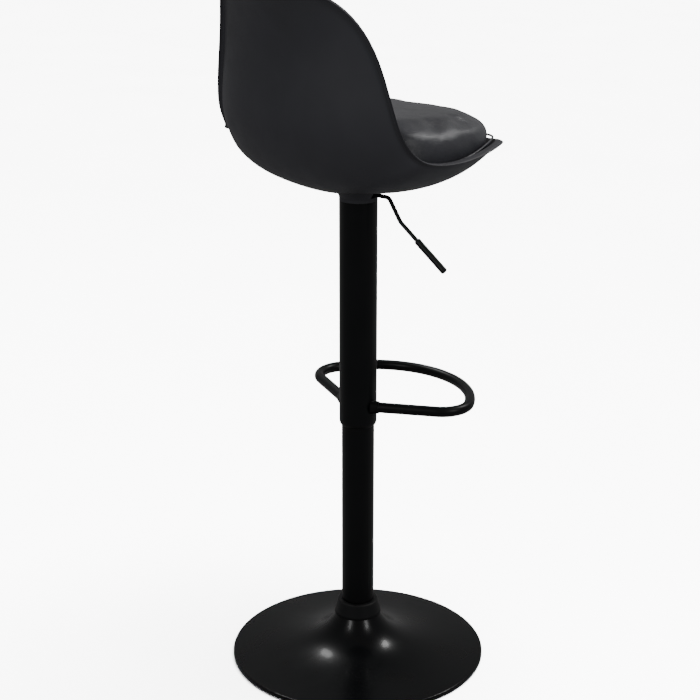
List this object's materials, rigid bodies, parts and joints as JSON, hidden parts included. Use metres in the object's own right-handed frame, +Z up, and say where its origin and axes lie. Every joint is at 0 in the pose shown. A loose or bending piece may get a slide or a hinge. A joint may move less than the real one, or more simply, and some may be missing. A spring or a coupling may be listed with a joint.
{
  "type": "bar stool with footrest",
  "caption": "Height-adjustable swivel bar stool: trumpet base, gas-lift column, sliding sleeve with a footrest hoop, bucket shell and padded seat.",
  "frame": {"origin": "on the column's axis at floor level", "axes": "+Z up along the column; the sitter faces -Y, so +X is on the sitter's left"},
  "size_m": [0.3916, 0.4166, 1.0493],
  "materials": {
    "gloss_black_metal": "smooth black gloss powder coat",
    "satin_black_metal": "satin black powder coat",
    "satin_black_plastic": "moulded satin black plastic",
    "grey_shell_plastic": "fine-grained dark grey moulded plastic",
    "grey_leatherette": "satin dark grey coated fabric (leatherette) with a fine grain",
    "black_rubber": "matte black rubber",
    "grey_nylon": "natural nylon",
    "raw_steel": "zinc-plated steel",
    "polished_steel": "ground and polished steel",
    "aluminium": "machined aluminium",
    "brass": "pressed brass",
    "plywood": "birch plywood"
  },
  "bodies": {
    "base_column": {"base_trumpet": "gloss_black_metal", "base_floor_ring": "black_rubber", "base_weight_plate": "raw_steel", "base_socket_tube": "raw_steel", "base_collar": "satin_black_plastic", "column_tube": "satin_black_metal", "column_bushing": "grey_nylon", "bearing_lower_washer": "raw_steel"},
    "bearing_race": {"bearing_cage": "brass", "bearing_balls": "raw_steel"},
    "spring_rod": {"gas_piston_rod": "polished_steel", "gas_piston": "aluminium", "rod_clip": "raw_steel", "rod_bumper": "black_rubber", "bearing_upper_washer": "raw_steel"},
    "seat_and_sleeve": {"gas_cylinder": "satin_black_metal", "rod_guide_seal": "black_rubber", "sleeve_tube": "satin_black_metal", "sleeve_glide_ring": "grey_nylon", "sleeve_top_cap": "satin_black_plastic", "footrest_hoop": "satin_black_metal", "footrest_saddle_left": "satin_black_metal", "footrest_saddle_right": "satin_black_metal", "taper_hub": "raw_steel", "seat_plate": "satin_black_metal", "seat_spacers": "grey_nylon", "seat_bolts": "raw_steel", "cushion_board": "plywood", "seat_nuts": "raw_steel", "seat_skirt": "grey_shell_plastic", "seat_shell": "grey_shell_plastic", "seat_cushion": "grey_leatherette", "lever_bracket": "raw_steel", "lever_pivot_pin": "raw_steel"},
    "height_lever": {"lever_rod": "satin_black_metal", "lever_grip": "satin_black_plastic"},
    "valve_pin": {"release_pin": "polished_steel"}
  },
  "joints": [
    {"name": "swivel", "type": "hinge", "parent": "base_column", "child": "spring_rod", "pos_m": [0, 0, 0.03], "axis": [0, 0, 1], "continuous": true},
    {"name": "bearing_turn", "type": "hinge", "parent": "base_column", "child": "bearing_race", "pos_m": [0, 0, 0.03], "axis": [0, 0, 1], "continuous": true},
    {"name": "height_slide", "type": "slide", "parent": "spring_rod", "child": "seat_and_sleeve", "axis": [0, 0, 1], "range_m": [-0.21, 0]},
    {"name": "lever_pull", "type": "hinge", "parent": "seat_and_sleeve", "child": "height_lever", "pos_m": [-0.0195, 0, 0.7359], "axis": [0, 1, 0], "range_deg": [0, 5], "stiffness_Nm_per_rad": 4, "springref_deg": -2.29},
    {"name": "valve_travel", "type": "slide", "parent": "seat_and_sleeve", "child": "valve_pin", "axis": [0, 0, -1], "range_m": [0, 0.0018]}
  ],
  "couplings": [
    {"joint": "bearing_turn", "follows": "swivel", "ratio": 0.5},
    {"joint": "valve_travel", "follows": "lever_pull", "m_per_rad": 0.0195}
  ]
}
